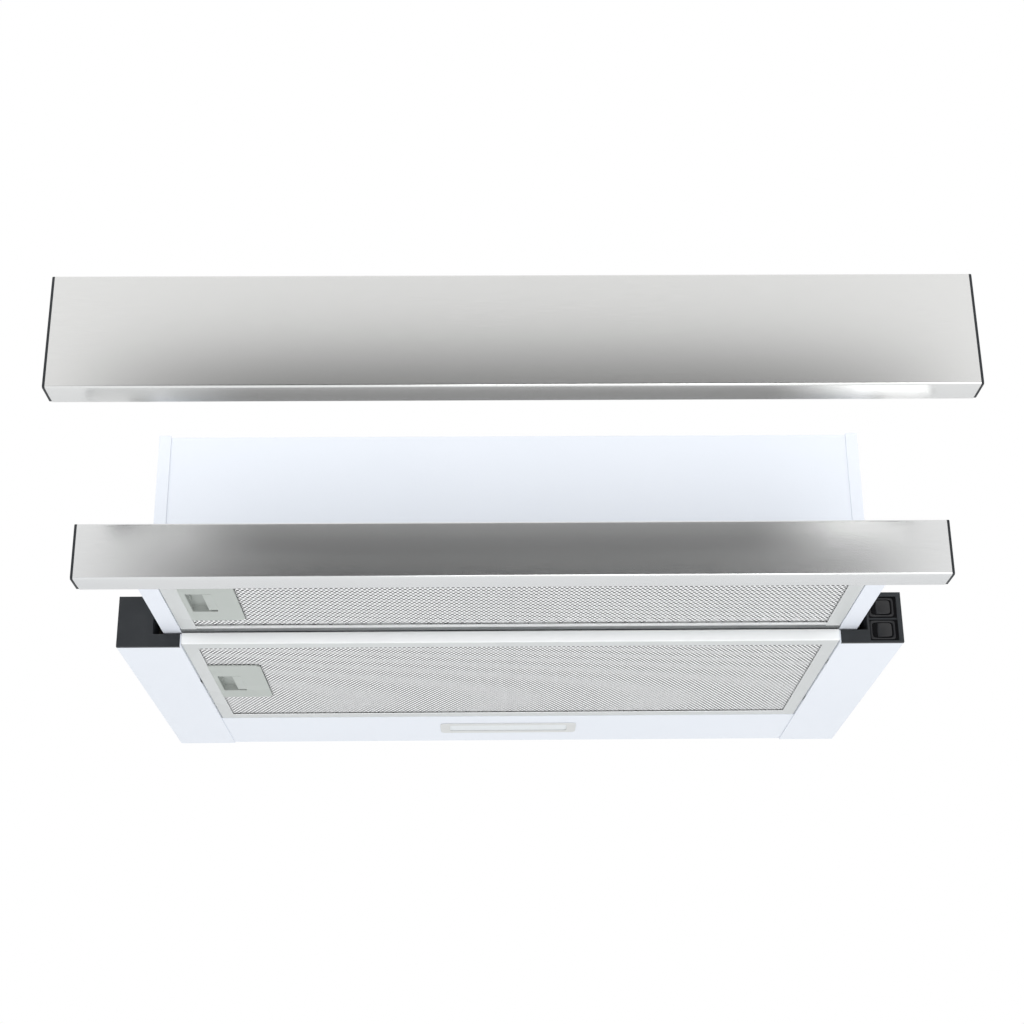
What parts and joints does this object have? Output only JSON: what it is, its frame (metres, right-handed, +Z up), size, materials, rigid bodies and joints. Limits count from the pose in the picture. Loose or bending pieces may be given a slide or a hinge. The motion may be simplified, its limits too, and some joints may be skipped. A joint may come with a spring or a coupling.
{
  "type": "pull out range hood",
  "caption": "Pull-out range hood with a sliding filter drawer, a fixed filter, a light, rocker switches, a duct collar and a taller spare fascia.",
  "frame": {"origin": "on the duct spigot's axis, at the seat where the end of the duct stops", "axes": "+X to the right seen from the front, +Y towards the wall, +Z up along the duct"},
  "size_m": [0.598, 0.5695, 0.213],
  "materials": {
    "white_paint": "semi-gloss",
    "drawer_paint": "semi-gloss",
    "dark_plastic": "fine grain, matt",
    "black_plastic": "matt",
    "rocker_plastic": "satin",
    "white_plastic": "matt",
    "red_plastic": "gloss",
    "bezel_plastic": "satin",
    "lens_plastic": "frosted",
    "board_laminate": "white solder mask",
    "zinc_steel": "galvanised",
    "cage_steel": "passivated, greased",
    "screw_steel": "zinc plated",
    "shaft_steel": "ground",
    "motor_steel": "satin",
    "brushed_fascia": "brushed along its length",
    "brushed_spare": "brushed along its length",
    "filter_aluminium": "satin anodised",
    "perforated_aluminium": "bright, perforated",
    "mesh_aluminium": "expanded mesh",
    "latch_aluminium": "grey-green satin",
    "flap_aluminium": "mill finish",
    "impeller_plastic": "matt"
  },
  "bodies": {
    "housing": {"front_panel": "white_paint", "back_panel": "white_paint", "left_side_panel": "white_paint", "right_side_panel": "white_paint", "top_panel": "white_paint", "left_base_channel": "white_paint", "right_base_channel": "white_paint", "light_panel": "white_paint", "left_end_block": "dark_plastic", "right_switch_block": "dark_plastic", "switch_bodies": "black_plastic", "light_bezel": "bezel_plastic", "light_lens": "lens_plastic", "led_board": "board_laminate", "led_driver": "white_plastic", "left_slide_outer": "zinc_steel", "right_slide_outer": "zinc_steel", "drawer_sensor": "black_plastic", "duct_spigot": "black_plastic", "spigot_screws": "screw_steel", "scroll_wrap": "zinc_steel", "scroll_left_cheek": "zinc_steel", "scroll_right_cheek": "zinc_steel", "motor": "motor_steel", "motor_bracket": "zinc_steel", "capacitor": "white_plastic", "terminal_box": "black_plastic", "cable_gland": "black_plastic"},
    "drawer": {"drawer_left_side": "drawer_paint", "drawer_right_side": "drawer_paint", "drawer_front_rail": "zinc_steel", "drawer_top_cover": "zinc_steel", "fascia": "brushed_fascia", "fascia_left_cap": "dark_plastic", "fascia_right_cap": "dark_plastic", "fascia_screws": "screw_steel", "left_slide_inner": "zinc_steel", "right_slide_inner": "zinc_steel"},
    "ball_cages": {"left_ball_cage": "cage_steel", "right_ball_cage": "cage_steel"},
    "front_filter": {"front_filter_frame": "filter_aluminium", "front_filter_sheet": "perforated_aluminium", "front_filter_core": "mesh_aluminium", "front_latch_plate": "latch_aluminium"},
    "front_filter_latch": {"front_latch": "latch_aluminium"},
    "rear_filter": {"rear_filter_frame": "filter_aluminium", "rear_filter_sheet": "perforated_aluminium", "rear_filter_core": "mesh_aluminium", "rear_latch_plate": "latch_aluminium"},
    "rear_filter_latch": {"rear_latch": "latch_aluminium"},
    "fan_switch_rocker": {"fan_rocker": "rocker_plastic"},
    "light_switch_rocker": {"light_rocker": "rocker_plastic"},
    "sensor_plunger": {"sensor_button": "red_plastic"},
    "front_backdraft_flap": {"front_flap": "flap_aluminium"},
    "rear_backdraft_flap": {"rear_flap": "flap_aluminium"},
    "rotor": {"impeller": "impeller_plastic", "motor_shaft": "shaft_steel"},
    "loose_fascia": {"spare_fascia": "brushed_spare", "spare_left_cap": "dark_plastic", "spare_right_cap": "dark_plastic"}
  },
  "joints": [
    {"name": "drawer_slide", "type": "slide", "parent": "housing", "child": "drawer", "axis": [0, 1, 0], "range_m": [0, 0.132]},
    {"name": "cage_slide", "type": "slide", "parent": "housing", "child": "ball_cages", "axis": [0, 1, 0], "range_m": [0, 0.066]},
    {"name": "front_filter_hinge", "type": "hinge", "parent": "drawer", "child": "front_filter", "pos_m": [0.249, -0.222, -0.166], "axis": [0, 1, 0], "range_deg": [-60, 0]},
    {"name": "front_latch_slide", "type": "slide", "parent": "front_filter", "child": "front_filter_latch", "axis": [1, 0, 0], "range_m": [0, 0.0045], "stiffness_N_per_m": 400},
    {"name": "rear_filter_hinge", "type": "hinge", "parent": "housing", "child": "rear_filter", "pos_m": [0.249, -0.043, -0.176], "axis": [0, 1, 0], "range_deg": [-60, 0]},
    {"name": "rear_latch_slide", "type": "slide", "parent": "rear_filter", "child": "rear_filter_latch", "axis": [1, 0, 0], "range_m": [0, 0.0045], "stiffness_N_per_m": 400},
    {"name": "fan_rocker_tilt", "type": "hinge", "parent": "housing", "child": "fan_switch_rocker", "pos_m": [0.2845, -0.1475, -0.14885], "axis": [0, 0, 1], "range_deg": [0, 16]},
    {"name": "light_rocker_tilt", "type": "hinge", "parent": "housing", "child": "light_switch_rocker", "pos_m": [0.2845, -0.1475, -0.16705], "axis": [0, 0, 1], "range_deg": [0, 16]},
    {"name": "sensor_press", "type": "slide", "parent": "housing", "child": "sensor_plunger", "axis": [0, 1, 0], "range_m": [0, 0.0015], "stiffness_N_per_m": 300},
    {"name": "front_flap_hinge", "type": "hinge", "parent": "housing", "child": "front_backdraft_flap", "pos_m": [0, -0.0042, 0.01], "axis": [-1, 0, 0], "range_deg": [0, 75]},
    {"name": "rear_flap_hinge", "type": "hinge", "parent": "housing", "child": "rear_backdraft_flap", "pos_m": [0, 0.0042, 0.01], "axis": [1, 0, 0], "range_deg": [0, 75]},
    {"name": "impeller_spin", "type": "hinge", "parent": "housing", "child": "rotor", "pos_m": [0, -0.03248, -0.067], "axis": [1, 0, 0], "continuous": true},
    {"name": "spare_fascia_slide", "type": "slide", "parent": "housing", "child": "loose_fascia", "axis": [0, -1, 0], "range_m": [0, 0.06]}
  ],
  "couplings": [
    {"joint": "cage_slide", "follows": "drawer_slide", "ratio": 0.5}
  ]
}
